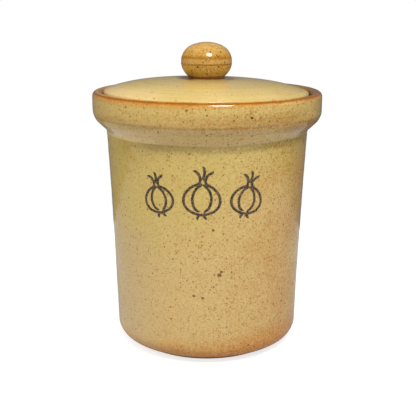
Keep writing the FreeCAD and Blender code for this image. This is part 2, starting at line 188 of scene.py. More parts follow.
class Section:
    """Half of a turned piece's section in the XZ plane, drawn from point to point and then spun."""

    def __init__(self, radius, height):
        self.mesh = bmesh.new()
        self.first = self.mesh.verts.new((radius, 0, height))
        self.tip = self.first
        self.corners = []

    def line(self, radius, height, rounding=0):
        """Draw straight to a point, which gets its rounding once the section is whole."""
        self.tip = bmesh.ops.extrude_vert_indiv(self.mesh, verts=[self.tip])["verts"][0]
        self.tip.co = (radius, 0, height)
        self.corners.append((self.tip, rounding))

    def arc(self, centre, radius, height, steps, rounding=0):
        """Draw the short way round a centre to a point."""
        start = Vector((self.tip.co.x - centre[0], self.tip.co.z - centre[1]))
        end = Vector((radius - centre[0], height - centre[1]))
        made = bmesh.ops.spin(
            self.mesh, geom=[self.tip], cent=(centre[0], 0, centre[1]), axis=(0, 1, 0),
            angle=start.angle_signed(end), steps=steps,
        )
        self.tip = made["geom_last"][0]
        self.corners.append((self.tip, rounding))

    def close(self):
        self.mesh.edges.new((self.tip, self.first))

    def soften(self):
        """Round the corners, each with its own radius."""
        for corner, radius in self.corners:
            if not radius:
                continue
            before, after = (edge.other_vert(corner).co - corner.co for edge in corner.link_edges)
            bmesh.ops.bevel(
                self.mesh, geom=[corner], affect="VERTICES", offset_type="OFFSET",
                offset=radius / math.tan(before.angle(after) / 2),
                segments=ROUND_STEPS, profile=0.5, material=-1,
            )

    def refine(self, longest=LONGEST_RUN):
        """Divide the long runs, so that the hand's marks have points to move."""
        for edge in self.mesh.edges[:]:
            cuts = int(edge.calc_length() / longest)
            if cuts:
                bmesh.ops.subdivide_edges(self.mesh, edges=[edge], cuts=cuts)

    def hollow(self, low, high, depth):
        """Draw the wall in between two heights, most at half way."""
        for vert in self.mesh.verts:
            share = (vert.co.z - low) / (high - low)
            if 0 < share < 1:
                vert.co.x -= depth * 4 * share * (1 - share)

    def spun(self):
        """Spin the section into a closed piece, and hand its mesh over."""
        bmesh.ops.spin(
            self.mesh, geom=self.mesh.verts[:] + self.mesh.edges[:], cent=(0, 0, 0),
            axis=(0, 0, 1), dvec=(0, 0, 0), angle=math.tau, steps=TURN_STEPS, use_merge=True,
        )
        bmesh.ops.remove_doubles(self.mesh, verts=self.mesh.verts, dist=MERGE)
        bmesh.ops.recalc_face_normals(self.mesh, faces=self.mesh.faces)
        return self.mesh


def ease(value, low, high):
    """From 0 at low to 1 at high, smoothly."""
    share = min(max((value - low) / (high - low), 0), 1)
    return share * share * (3 - 2 * share)


def arc_centre(start, outward, end):
    """Centre of the arc that leaves start square to the direction outward and passes through end."""
    reach = (start[0] - end[0], start[1] - end[1])
    square = reach[0] ** 2 + reach[1] ** 2
    radius = square / (2 * (reach[0] * outward[0] + reach[1] * outward[1]))
    return start[0] - outward[0] * radius, start[1] - outward[1] * radius


def throwing_marks(mesh, depth, kept_true=None):
    """Fine uneven rings that the fingers leave. Heights for which kept_true holds have none."""
    for vert in mesh.verts:
        across = math.hypot(vert.co.x, vert.co.y)
        if across < MARK_FREE_HUB or (kept_true and kept_true(vert.co.z)):
            continue
        rings = Vector((vert.co.x / across * 0.35, vert.co.y / across * 0.35, vert.co.z / MARK_SPACING))
        waves = Vector((vert.co.x * 9, vert.co.y * 9, vert.co.z * 14))
        push = depth * (noise.noise(rings) + 0.8 * noise.noise(waves))
        vert.co.x += vert.co.x / across * push
        vert.co.y += vert.co.y / across * push


def put(name, data):
    """Make the data an object of the scene."""
    made = bpy.data.objects.new(name, data)
    bpy.context.scene.collection.objects.link(made)
    return made


def finished(mesh, name, material=None):
    """The mesh data of a piece that needs no more bmesh work."""
    data = bpy.data.meshes.new(name)
    mesh.to_mesh(data)
    mesh.free()
    if material:
        data.materials.append(material)
    return data


def show(name, mesh, material, body, slot, *nodes):
    """Make the mesh a smooth piece, and hand it to the frame."""
    data = finished(mesh, name, material)
    data.shade_smooth()
    piece = put(name, data)
    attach(piece, body)
    if nodes:
        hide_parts(*nodes)


class Wiring:
    """Adds nodes to one tree and joins them."""

    def __init__(self, tree):
        self.tree = tree

    def feed(self, node, inputs):
        """Link each input that is given a socket, and set each that is given a value."""
        for key, value in dict(inputs).items():
            socket = node.inputs[key]
            if isinstance(value, bpy.types.NodeSocket):
                self.tree.links.new(value, socket)
            else:
                socket.default_value = (*value, 1) if socket.type == "RGBA" else value

    def node(self, kind, inputs=(), **settings):
        made = self.tree.nodes.new(kind)
        for name, value in settings.items():
            setattr(made, name, value)
        self.feed(made, inputs)
        return made

    def math(self, operation, *values, clamp=False):
        made = self.node("ShaderNodeMath", enumerate(values), operation=operation, use_clamp=clamp)
        return made.outputs[0]

    def times(self, first, *others):
        for other in others:
            first = self.math("MULTIPLY", first, other)
        return first

    def scaled(self, value, slope, start):
        return self.math("MULTIPLY_ADD", value, slope, start)

    def swing(self, value, depth):
        """A value from 0 to 1 as a swing of half the depth to each side of zero."""
        return self.scaled(value, depth, -depth / 2)

    def vector(self, operation, *values, out="Vector"):
        return self.node("ShaderNodeVectorMath", enumerate(values), operation=operation).outputs[out]

    def ease(self, value, low, high, first=0, last=1):
        """From first at low to last at high, smoothly, and level beyond them."""
        inputs = {"Value": value, "From Min": low, "From Max": high, "To Min": first, "To Max": last}
        return self.node("ShaderNodeMapRange", inputs, interpolation_type="SMOOTHSTEP").outputs["Result"]

    def tint(self, factor, first, second):
        return self.node("ShaderNodeMix", {0: factor, 6: first, 7: second}, data_type="RGBA").outputs[2]

    def noise(self, place, size, detail=2, rough=0.5):
        """Cloudy noise whose lumps are about size millimetres across."""
        inputs = {"Vector": place, "Scale": 1 / size, "Detail": detail, "Roughness": rough}
        return self.node("ShaderNodeTexNoise", inputs).outputs["Fac"]

    def seen(self):
        """1 for what the camera sees directly, and 0 for all else."""
        return self.node("ShaderNodeLightPath").outputs["Is Camera Ray"]

    def use(self, name, **inputs):
        """Place a group, with spaces in its socket names given as underscores."""
        group = self.node("ShaderNodeGroup", node_tree=bpy.data.node_groups[name])
        self.feed(group, {key.replace("_", " "): value for key, value in inputs.items()})
        return group.outputs


def new_group(name, takes, gives):
    """An empty group with named sockets, as its wiring, its output node and what comes in."""
    tree = bpy.data.node_groups.new(name, "ShaderNodeTree")
    for direction, sockets in (("INPUT", takes), ("OUTPUT", gives)):
        for socket in sockets:
            kind = "NodeSocketVector" if socket in ("Place", "Spot") else "NodeSocketFloat"
            tree.interface.new_socket(socket, in_out=direction, socket_type=kind)
    wires = Wiring(tree)
    came = wires.node("NodeGroupInput").outputs
    return wires, wires.node("NodeGroupOutput"), [came[socket] for socket in takes]


def turned_surface_group():
    """Where a point lies on a turned piece, in millimetres."""
    wires, gives, _ = new_group("Turned Surface", (), ("Place", "Side", "Radius", "Height"))
    point = wires.node("ShaderNodeTexCoord").outputs["Object"]
    place = wires.vector("MULTIPLY", point, (1000, 1000, 1000))
    flat = wires.vector("MULTIPLY", place, (1, 1, 0))
    radius = wires.vector("LENGTH", flat, out="Value")
    parts = wires.node("ShaderNodeSeparateXYZ", {0: place}).outputs
    wires.feed(gives, {"Place": place, "Side": parts["X"], "Radius": radius, "Height": parts["Z"]})


# The share of a speck and of a spot, from the middle out, that is full iron
SPECK_CORE = 0.4
SPOT_CORE = 0.6


def iron_specks_group():
    """Specks scattered one to a cell: only a share of the cells has one, and no two are the same."""
    sockets = ("Place", "Cell", "Share", "Size")
    wires, gives, (place, cell, share, size) = new_group("Iron Specks", sockets, ("Mask", "Tone"))
    scale = wires.math("DIVIDE", 1, cell)
    voronoi = wires.node("ShaderNodeTexVoronoi", {"Vector": place, "Scale": scale})
    away = wires.times(voronoi.outputs["Distance"], cell)
    ragged = wires.swing(wires.noise(place, 0.6, 1), 0.9)
    away = wires.scaled(size, ragged, away)
    chance = wires.node("ShaderNodeSeparateColor", {0: voronoi.outputs["Color"]})
    missing = wires.math("SUBTRACT", 1, share)
    beyond = wires.math("SUBTRACT", chance.outputs[0], missing)
    strength = wires.math("DIVIDE", beyond, share, clamp=True)
    reach = wires.times(wires.math("SQRT", strength), size)
    core = wires.times(reach, SPECK_CORE)
    wires.feed(gives, {"Mask": wires.ease(away, core, reach, 1, 0), "Tone": chance.outputs[1]})


def iron_spot_group():
    """One larger spot of iron at a known place."""
    sockets = ("Place", "Spot", "Size")
    wires, gives, (place, spot, size) = new_group("Iron Spot", sockets, ("Mask",))
    away = wires.vector("DISTANCE", place, spot, out="Value")
    ragged = wires.swing(wires.noise(place, 0.9), 1.2)
    away = wires.scaled(size, ragged, away)
    core = wires.times(size, SPOT_CORE)
    wires.feed(gives, {"Mask": wires.ease(away, core, size, 1, 0)})


def ring_break_group():
    """A band about one ring of the turned form, strongest on the ring and uneven along it."""
    sockets = ("Place", "Radius", "Height", "Ring Radius", "Ring Height", "Reach")
    wires, gives, came = new_group("Ring Break", sockets, ("Mask",))
    place, radius, height, ring_radius, ring_height, reach = came
    out = wires.math("SUBTRACT", radius, ring_radius)
    up = wires.math("SUBTRACT", height, ring_height)
    square = wires.math("ADD", wires.times(out, out), wires.times(up, up))
    away = wires.math("SQRT", square)
    wander = wires.scaled(wires.noise(place, 14, 3), 1.1, 0.45)
    frayed = wires.swing(wires.noise(place, 2.2), 0.5)
    reach = wires.times(reach, wires.math("ADD", wander, frayed))
    wires.feed(gives, {"Mask": wires.ease(wires.math("DIVIDE", away, reach), 0.15, 1, 1, 0)})


def throwing_rings_group():
    """Thin uneven lines round the piece, as fingers and ribs leave in wet clay."""
    sockets = ("Place", "Height", "Spacing")
    wires, gives, (place, height, spacing) = new_group("Throwing Rings", sockets, ("Lines",))
    stretched = wires.vector("MULTIPLY", place, (0.012, 0.012, 0))
    turns = wires.math("DIVIDE", height, spacing)
    layer = wires.node("ShaderNodeCombineXYZ", {"Z": turns}).outputs[0]
    wires.feed(gives, {"Lines": wires.noise(wires.vector("ADD", stretched, layer), 1, 3, 0.6)})


def glaze_skin_group():
    """The slow unevenness of a glaze, its patches, its fine grain, and its relief."""
    sockets = ("Cloud", "Patch", "Grain", "Relief")
    wires, gives, (place,) = new_group("Glaze Skin", ("Place",), sockets)
    grain = wires.noise(place, 1.5, 3, 0.7)
    peel = wires.noise(place, 7, 1)
    wires.feed(gives, {
        "Cloud": wires.noise(place, 34, 3),
        "Patch": wires.noise(place, 8, 3, 0.6),
        "Grain": grain,
        "Relief": wires.math("ADD", wires.times(peel, 0.09), wires.times(grain, 0.008)),
    })


def make_groups():
    if "Turned Surface" not in bpy.data.node_groups:
        turned_surface_group()
        iron_specks_group()
        iron_spot_group()
        ring_break_group()
        throwing_rings_group()
        glaze_skin_group()


def new_material(name):
    material = bpy.data.materials.new(name)
    material.use_nodes = True
    wires = Wiring(material.node_tree)
    shader = next(node for node in material.node_tree.nodes if node.type == "BSDF_PRINCIPLED")
    return material, wires, shader


class Glaze(Wiring):
    """One piece's glaze, laid step by step. Its fields say where a point lies and how the glaze varies.

    A ramp names a field, then where on it the ramp starts and ends, and how strong it is at both when
    that isn't 0 and 1. A name alone is a field that is a mask already. A wash names its colour, then
    its ramps, and lies where they all meet.
    """

    def __init__(self, name, colours, ring_spacing, rings_along="Height"):
        self.material, wires, self.shader = new_material(name)
        super().__init__(wires.tree)
        self.colours = colours
        self.coat = None
        where = self.use("Turned Surface")
        self.place = where["Place"]
        skin = self.use("Glaze Skin", Place=self.place)
        along = where[rings_along]
        rings = self.use("Throwing Rings", Place=self.place, Height=along, Spacing=ring_spacing)
        self.fields = dict([*where.items(), *skin.items(), *rings.items()])

    def ramp(self, name, *ramp):
        return self.ease(self.fields[name], *ramp) if ramp else self.fields[name]

    def meet(self, *ramps):
        """How strongly the ramps meet."""
        return self.times(*(self.ramp(*ramp) for ramp in ramps))

    def either(self, first, second):
        return self.math("MAXIMUM", first, second)

    def shifted(self, name, *shares):
        """A field moved by shares of other fields."""
        value = self.fields[name]
        for other, share in shares:
            value = self.scaled(self.fields[other], share, value)
        return value

    def begin(self, ramp, first, last):
        """The ground colour, which turns from one to another along a ramp."""
        first, last = getattr(self.colours, first), getattr(self.colours, last)
        self.coat = self.tint(self.ramp(*ramp), first, last)

    def cover(self, mask, colour):
        self.coat = self.tint(mask, self.coat, getattr(self.colours, colour))

    def wash(self, *washes):
        for colour, *ramps in washes:
            self.cover(self.meet(*ramps), colour)

    def breaks(self, breaks):
        """Let iron through along rings: a ring's radius and height, its reach, strength and colour."""
        for radius, height, reach, strength, colour in breaks:
            ring = self.use(
                "Ring Break", Ring_Radius=radius, Ring_Height=height, Reach=reach,
                **{name: self.fields[name] for name in ("Place", "Radius", "Height")},
            )
            self.cover(self.times(ring["Mask"], strength), colour)

    def fleck(self, depth, dark, pale):
        """The grain of a speckled glaze: dark where iron shows through, and pale where it doesn't."""
        for colour, start, full in ((dark, 0.48, 0.74), (pale, 0.5, 0.26)):
            self.cover(self.times(self.ramp("Grain", start, full), depth), colour)

    def speckle(self, layers, crowd=1):
        """Scatter specks, most brown and some rusty or dark. They are denser where crowd is over 1."""
        colours = self.colours
        for cell, share, size, strength in layers:
            often = self.times(crowd, share)
            specks = self.use("Iron Specks", Place=self.place, Cell=cell, Share=often, Size=size)
            iron = self.tint(self.ease(specks["Tone"], 0.25, 0.6), colours.rust, colours.speck)
            iron = self.tint(self.ease(specks["Tone"], 0.7, 1), iron, colours.spot)
            self.coat = self.tint(self.times(specks["Mask"], strength), self.coat, iron)

    def spot(self, spots):
        """The few large spots of iron, each with its own place, size and strength."""
        for x, y, z, size, strength in spots:
            mask = self.use("Iron Spot", Place=self.place, Spot=(x, y, z), Size=size)["Mask"]
            self.cover(self.times(mask, strength), "spot")

    def fire(self, bare=0, ring_depth=0.04, peel=1, dull=0):
        """Join tint, sheen and relief to the shader, with bare clay where the glaze was wiped off."""
        clay = self.tint(self.ramp("Grain", 0.35, 0.7), self.colours.clay, self.colours.sand)
        sheen = self.ramp("Cloud", 0.3, 0.75, GLOSS[0] + dull, GLOSS[1] + dull)
        relief = self.times(self.fields["Relief"], peel)
        relief = self.scaled(self.fields["Lines"], ring_depth, relief)
        bump = self.node("ShaderNodeBump", {"Strength": 1, "Distance": MM, "Height": relief})
        self.feed(self.shader, {
            "Base Color": self.tint(bare, self.coat, clay),
            "Roughness": self.math("ADD", sheen, self.times(bare, 0.6), clamp=True),
            "Normal": bump.outputs["Normal"],
            "IOR": GLAZE_IOR,
        })
        return self.material


# The roughness of the glaze where it lies smoothest and where it lies roughest, and its refraction
GLOSS = (0.06, 0.14)
GLAZE_IOR = 1.55

# The height of the ledge in millimetres
LEDGE_LEVEL = 194

# The jar's washes from the foot up, in millimetres
JAR_WASHES = (
    # Warmed by the flame on the right, and patchy all over
    ("flash", ("Side", 0, 60), ("Cloud", 0.36, 0.62, 0.25, 1), ("Height", 168, 135, 0.1, 0.65)),
    ("flash", ("Patch", 0.5, 0.75, 0, 0.35)),
    ("olive", ("Patch", 0.45, 0.25, 0, 0.4)),
    # Painted shade on the far right, and a pale painted sheen low on the left
    ("speck", ("Side", 52, 68, 0, 0.15), ("Height", 75, 100)),
    ("clay", ("Side", -25, -58, 0, 0.35), ("Height", 118, 85)),
    # Toasted at the heel
    ("toast", ("Toasted", 38.5, 15)),
    # Thinner on the collar
    ("sand", ("Height", 174, 188, 0, 0.5)),
    # Milky glaze gathered under the collar, with painted shade above it on the collar's underside
    ("milk", ("Hem", 170.2, 171.6), ("Edge", 187, 183.8), ("Radius", 78.2, 78.8),
     ("Side", -86, -64, 0.3, 1), ("Side", 45, 74, 0.8, 0), ("Side", -45, -20, 1.2, 1)),
    ("umber_and_shade", ("Height", 177.2, 179.4), ("Height", 184.2, 182.8),
     ("Side", -70, 40, 0.05, 0.2), ("Side", 58, 72, 1, 0)),
    # Flushed along the collar's lower edge, and painted shade on the collar's far right
    ("rust", ("Turned", 182, 184.4), ("Turned", 189, 186, 0, 0.2), ("Side", 56, 74, 1, 2)),
    ("moss_shade", ("Far Side Shade",)),
    ("rust", ("Height", 176.8, 179), ("Height", 184.5, 182.5), ("Side", 45, 72, 0, 0.4)),
    # A painted highlight along the hem of the milky glaze on the left, and painted shade on the wall
    # just under the collar
    ("straw_and_sheen", ("Hem", 170.4, 171.4), ("Hem", 176, 172.5), ("Side", -28, -42)),
    ("moss_shade", ("Hem", 163.8, 167.6), ("Hem", 171.4, 170.2),
     ("Side", -60, -36, 0, 0.5), ("Side", 50, 66, 1, 0.5)),
    # Browned on the collar's face, where the fingers' lines show in rust
    ("speck", ("Height", 184.5, 187), ("Height", 196, 190),
     ("Side", -60, 45, 0.05, 0.36), ("Side", 58, 78, 1, 0.1)),
    ("rust", ("Height", 181, 184), ("Height", 197, 190), ("Lines", 0.47, 0.62),
     ("Patch", 0.38, 0.6, 0.15, 1), ("Grip",), ("Side", 66, 84, 1, 0.2)),
    # Painted shade inside the collar
    ("speck", ("Height", 193, 195), ("Radius", 86.5, 82.5, 0, 0.9)),
)
# Painted shade on the lip's right, over its top and down its inner side
SHADED_RIGHT_LIP = (
    "umber_and_shade", ("Side", 20, 70, 0, 0.75), ("Radius", 88.6, 86.8),
    ("Height", 193, 195), ("Height", 200.5, 197, 0.2, 1),
)

# Layers of specks: how far apart they lie, the share of the places that has one, size and strength
JAR_SPECKS = ((1.9, 0.5, 0.85, 0.65), (3.1, 0.5, 1, 0.9), (6.5, 0.45, 1.2, 1), (14, 0.5, 1.5, 1))
LID_SPECKS = ((2, 0.45, 0.75, 0.4), (3.6, 0.45, 0.95, 0.8), (9, 0.5, 1.3, 1))
KNOB_SPECKS = ((1.6, 0.6, 0.9, 0.75), (2.8, 0.6, 1.15, 1), (6, 0.7, 1.5, 1))

# Large spots of iron: where they lie and how large they are, in millimetres, and their strength
WALL_SPOTS = (
    (31.1, -84.5, 191.5, 1.2, 1),
    (9.5, -74.2, 73.8, 2, 0.85),
    (10.9, -74.2, 76.4, 1.4, 0.85),
    (-9.4, -73.7, 57.2, 1.4, 0.8),
    (-2.7, -74.2, 55.8, 1.4, 0.8),
    (4.7, -76, 108.5, 1.2, 0.9),
    (31.5, -79.3, 178.1, 1.1, 0.7),
)


def survey_jar(glaze):
    """Work out the fields that only the jar has."""
    fields = glaze.fields
    across = glaze.math("ABSOLUTE", fields["Side"])
    fields["Rightward"] = glaze.ramp("Side", -60, 50)
    fields["Drift"] = glaze.shifted("Height", ("Cloud", 90), ("Side", -0.35))
    fields["Toasted"] = glaze.shifted("Height", ("Cloud", 12), ("Patch", 10), ("Side", -0.11))
    fields["Hem"] = glaze.math("ADD", fields["Height"], glaze.ramp("Side", 0, 70, 0.4, -1.1))
    fields["Turned"] = glaze.math("ADD", fields["Height"], glaze.ramp("Side", 45, 80, 0, 3))
    edge = glaze.shifted("Height", ("Patch", 5))
    fields["Edge"] = glaze.math("ADD", edge, glaze.ease(across, 30, 75, 0, 5))
    fields["Grip"] = glaze.scaled(fields["Rightward"], 0.3, 0.2)
    # Painted shade on the far right, under the collar and on its face
    far_under_shade = glaze.meet(
        ("Hem", 170.2, 171.6), ("Height", 185, 182), ("Side", 45, 78, 0, 0.5),
        ("Height", 173, 179, 0.2, 1),
    )
    far_right_shade = glaze.meet(("Height", 178, 182), ("Side", 76, 88, 0, 0.45))
    fields["Far Side Shade"] = glaze.either(far_under_shade, far_right_shade)
    level = glaze.math("SUBTRACT", fields["Height"], LEDGE_LEVEL)
    fields["Off Ledge"] = glaze.math("ABSOLUTE", level)
    return fields


def jar_breaks(glaze):
    """Iron breaks through along the collar's lower edge and over the lip, with painted shade on the
    lip's right and down inside the gallery.
    """
    line = glaze.scaled(glaze.fields["Rightward"], 0.35, 0.4)
    line = glaze.times(line, glaze.ramp("Patch", 0.36, 0.56, 0.4, 1))
    return (
        (88.9, glaze.ramp("Side", 0, 45, 184.3, 185.2), 1.7, line, "speck"),
        (89.9, 199.6, 2.8, glaze.ramp("Side", 10, 55, 0.5, 0.1), "toast"),
        (84.8, 202.3, 3.2, glaze.ramp("Side", 60, 80, 0.85, 0.3), "peach"),
        # Painted shade on the lip's right
        (86.5, 202, 4.5, glaze.ramp("Side", 55, 75, 0, 0.85), "umber_and_shade"),
        (88.5, 201.4, glaze.ramp("Side", 10, 60, 2.8, 2.3), 1, "rust"),
        (88.5, 201.7, 1.1, 0.7, "umber_and_shade"),
        # Painted shade down the gallery, between the lid and the collar
        (81.8, 199, 2.4, 0.8, "umber_and_shade"),
        (81.4, 195.6, 5.5, 1, "spot"),
    )


def jar_glaze(colours):
    """Olive above and sand below, warmed on one side, toasted at the heel, with rust on every edge."""
    glaze = Glaze("Jar Glaze", colours, ring_spacing=1.6)
    rightward = survey_jar(glaze)["Rightward"]
    glaze.begin(("Drift", 110, 205), "sand", "olive")
    glaze.wash(*JAR_WASHES)
    glaze.breaks(jar_breaks(glaze))
    glaze.wash(SHADED_RIGHT_LIP)

    inside = glaze.meet(("Height", 193, 195), ("Radius", 87, 85.5))
    at_lip = glaze.either(glaze.ramp("Height", 199, 200.8), inside)
    depth = glaze.times(glaze.scaled(rightward, 0.2, 0.36), glaze.scaled(at_lip, -0.6, 1))
    glaze.fleck(depth, "speck", "straw_and_sheen")
    crowd = glaze.scaled(rightward, 0.8, 0.55)
    crowd = glaze.scaled(glaze.ramp("Height", 174, 188), 0.5, crowd)
    glaze.speckle(JAR_SPECKS, crowd)
    glaze.spot(WALL_SPOTS)

    foot = glaze.ramp("Height", 1.4, 0.7)
    ledge = glaze.meet(("Radius", 71.9, 72.9), ("Radius", 79.5, 78.7), ("Off Ledge", 1.2, 0.5))
    return glaze.fire(bare=glaze.either(foot, ledge))


LID_WASHES = (
    # Paler towards the middle, with thin streaks where the glaze was swirled on
    ("straw_and_sheen", ("Radius", 62, 25, 0, 0.15)),
    ("flash", ("Lines", 0.5, 0.68, 0, 0.25)),
    ("straw_and_sheen", ("Lines", 0.46, 0.32, 0, 0.35)),
    # Painted light on the left shoulder, and painted shade round the knob and towards the right
    ("straw_and_sheen", ("Side", -22, -58), ("Radius", 62, 76, 0, 0.7)),
    ("umber_and_shade", ("Thin",)),
)


def lid_glaze(colours):
    """Honey glaze, thick on the dome, with the seat and the skirt left bare."""
    glaze = Glaze("Lid Glaze", colours, ring_spacing=2.2, rings_along="Radius")
    # Painted shade, with the knob's dark reflection painted in, in front of the knob, and painted shade
    # towards the lid's right
    shade_by_knob = glaze.meet(("Radius", 46, 20, 0, 0.22), ("Side", -30, -18, 0.2, 1))
    shade_on_right = glaze.meet(("Side", -8, 20, 0, 0.06), ("Radius", 78, 66))
    glaze.fields["Thin"] = glaze.either(shade_by_knob, shade_on_right)
    glaze.begin(("Cloud", 0.3, 0.75, 0, 0.7), "honey", "olive")
    glaze.wash(*LID_WASHES)
    # Painted shadow on the lid to the left and right of the knob's foot
    beside = glaze.either(glaze.ramp("Side", -8, -14, 0, 0.9), glaze.ramp("Side", 12, 16, 0, 0.6))
    glaze.breaks(((80.6, 198.6, 3, 0.9, "rust"), (17, 212, 8, beside, "umber_and_shade")))
    glaze.fleck(0.22, "speck", "straw_and_sheen")
    glaze.speckle(LID_SPECKS)
    return glaze.fire(bare=glaze.meet(("Height", 195, 194.4), ("Radius", 63, 64.5)))


KNOB_WASHES = (
    ("rust", ("Lines", 0.42, 0.6, 0, 0.3)),
    # Olive low on the knob, partly painted shade under its swell
    ("olive", ("Height", 223, 221.5, 0, 0.35)),
    # The belt, paler, partly a painted sheen on its upright face
    ("sand", ("Height", 222.9, 223.6), ("Height", 227.4, 226.2, 0, 0.4)),
)
KNOB_BREAKS = (
    (19.8, 228, 2, 0.5, "speck"),
    (19.8, 222.8, 1.1, 0.6, "umber_and_shade"),
    # At the knob's foot: a dark joint, with painted contact shade
    (14.4, 212, 2.6, 1, "umber_and_shade"),
)


def knob_glaze(colours):
    """Amber glaze that breaks to rust along both edges of the belt."""
    glaze = Glaze("Knob Glaze", colours, ring_spacing=0.9)
    # Paler towards the top, partly painted light from above
    glaze.begin(("Height", 227, 237, 0, 0.6), "amber", "sand")
    glaze.wash(*KNOB_WASHES)
    glaze.fleck(0.6, "speck", "sand")
    glaze.breaks(KNOB_BREAKS)
    glaze.speckle(KNOB_SPECKS)
    return glaze.fire(ring_depth=0, peel=0.05, dull=0.07)


def start_piece(context):
    """Have the groups ready, and look up the sizes and the colours."""
    make_groups()
    return context.scene.canister_sizes, context.scene.canister_colours


def drawn_ink(colours):
    """Dark ink under the glaze, mottled where the glaze has bitten into it."""
    material, wires, shader = new_material("Drawn Ink")
    place = wires.use("Turned Surface")["Place"]
    bitten = wires.ease(wires.noise(place, 1), 0.42, 0.64)
    wires.feed(shader, {
        "Base Color": wires.tint(bitten, colours.ink, colours.ink_worn),
        "Roughness": wires.ease(wires.noise(place, 3), 0.3, 0.7, 0.18, 0.32),
    })
    return material


def jar_section(size, rim, ledge):
    """The jar's section, from the middle of the base round to the middle of the floor."""
    collar = JAR_HIGH.x
    gallery = collar - size.lip_width
    mouth = size.neck_radius - size.wall
    neck = rim - size.collar_drop - size.flare_height
    foot_inside = size.foot_radius - size.foot_width

    section = Section(0, size.foot_recess)
    section.line(foot_inside, size.foot_recess, size.foot_round)
    section.line(foot_inside, 0, size.foot_round)
    section.line(size.foot_radius, 0, size.foot_round)
    section.line(size.heel_radius, size.heel_height, size.heel_round)
    section.line(size.neck_radius, neck, size.cove_round)
    section.line(collar, rim - size.collar_drop, size.belly_round)
    section.line(collar, rim, size.lip_round)
    section.line(gallery, rim, size.lip_inner_round)
    section.line(gallery, ledge, size.ledge_round)
    section.line(mouth, ledge, size.ledge_round)
    section.line(mouth, neck, size.floor_round)
    section.line(size.heel_radius - size.wall, size.floor_height, size.floor_round)
    section.line(0, size.floor_height)
    section.soften()
    section.refine()
    section.hollow(size.heel_height, neck, size.waist_hollow)
    return section


class CANISTER_OT_jar(bpy.types.Operator):
    """Turn the jar: its foot ring, wall, rolled collar and the gallery inside the collar"""

    bl_idname = "canister.jar"
    bl_label = "Stoneware Jar"

    def execute(self, context):
        size, colours = start_piece(context)
        rim = JAR_HIGH.z + size.lip_rise
        ledge = rim - size.gallery_depth
        mesh = jar_section(size, rim, ledge).spun()

        def in_foot_or_ledge(up):
            return up < 1.5 * MM or abs(up - ledge) < 0.1 * MM

        throwing_marks(mesh, JAR_MARK_DEPTH, in_foot_or_ledge)
        show("turned_jar", mesh, jar_glaze(colours), "jar", "jar_glaze", "stoneware_jar")
        return {"FINISHED"}


# The rounding of the lid's lower edge, beside its seat
SEAT_ROUND = 1.2 * MM


def lid_section(size, seat):
    """The lid's section. Each arc of its underside has the centre of the arc above it."""
    top = LID_HIGH.z - size.lid_sink
    crown = (0, top - math.sqrt(size.crown_curve**2 - size.pad_radius**2))
    lean = size.brink_radius / size.crown_curve
    outward = (lean, math.sqrt(1 - lean**2))
    brink = (size.brink_radius, crown[1] + size.crown_curve * outward[1])
    edge = (size.lid_radius, seat + size.lid_edge)
    shoulder = arc_centre(brink, outward, edge)
    inner_shoulder = math.dist(shoulder, brink) - size.lid_thickness
    inner_skirt = size.skirt_radius - size.skirt_width
    root = shoulder[1] + math.sqrt(inner_shoulder**2 - (inner_skirt - shoulder[0]) ** 2)
    inner_brink = [b - o * size.lid_thickness for b, o in zip(brink, outward)]
    inner_crown = size.crown_curve - size.lid_thickness
    inner_top = crown[1] + math.sqrt(inner_crown**2 - size.vent_radius**2)

    section = Section(size.vent_radius, top)
    section.line(size.pad_radius, top)
    section.arc(crown, *brink, steps=20)
    section.arc(shoulder, *edge, steps=16, rounding=size.lid_edge_round)
    section.line(size.lid_radius, seat, SEAT_ROUND)
    section.line(size.skirt_radius, seat)
    section.line(size.skirt_radius, LID_LOW.z, size.skirt_round)
    section.line(inner_skirt, LID_LOW.z, size.skirt_round)
    section.line(inner_skirt, root)
    section.arc(shoulder, *inner_brink, steps=4)
    section.arc(crown, size.vent_radius, inner_top, steps=11)
    section.close()
    section.soften()
    section.refine()
    return section


class CANISTER_OT_lid(bpy.types.Operator):
    """Turn the domed lid with its seat and its skirt, a little warped from the kiln"""

    bl_idname = "canister.lid"
    bl_label = "Domed Lid"

    def execute(self, context):
        size, colours = start_piece(context)
        seat = JAR_HIGH.z + size.lip_rise - size.gallery_depth
        mesh = lid_section(size, seat).spun()
        for vert in mesh.verts:
            above = ease(vert.co.z, seat + 1 * MM, seat + size.lid_edge)
            vert.co.z -= size.lid_warp * above * vert.co.x / size.lid_radius
            vert.co.x -= size.lid_shift
        show("domed_lid", mesh, lid_glaze(colours), "lid", "lid_glaze", "lid")
        return {"FINISHED"}


# The slip that lutes the knob to the lid: how far it sinks in and spreads, its height and rounding
SLIP_SPREAD = 0.4 * MM
SLIP_HEIGHT = 0.9 * MM
SLIP_ROUND = 0.6 * MM
# How far below the belt the knob's curve ends, and half the height of the belt's upper bevel
UNDER_BELT = 0.4 * MM
BELT_BEVEL = 0.3 * MM


def on_arc(centre, radius, height):
    """The outer point of an arc at a height."""
    return centre[0] + math.sqrt(radius**2 - (height - centre[1]) ** 2), height


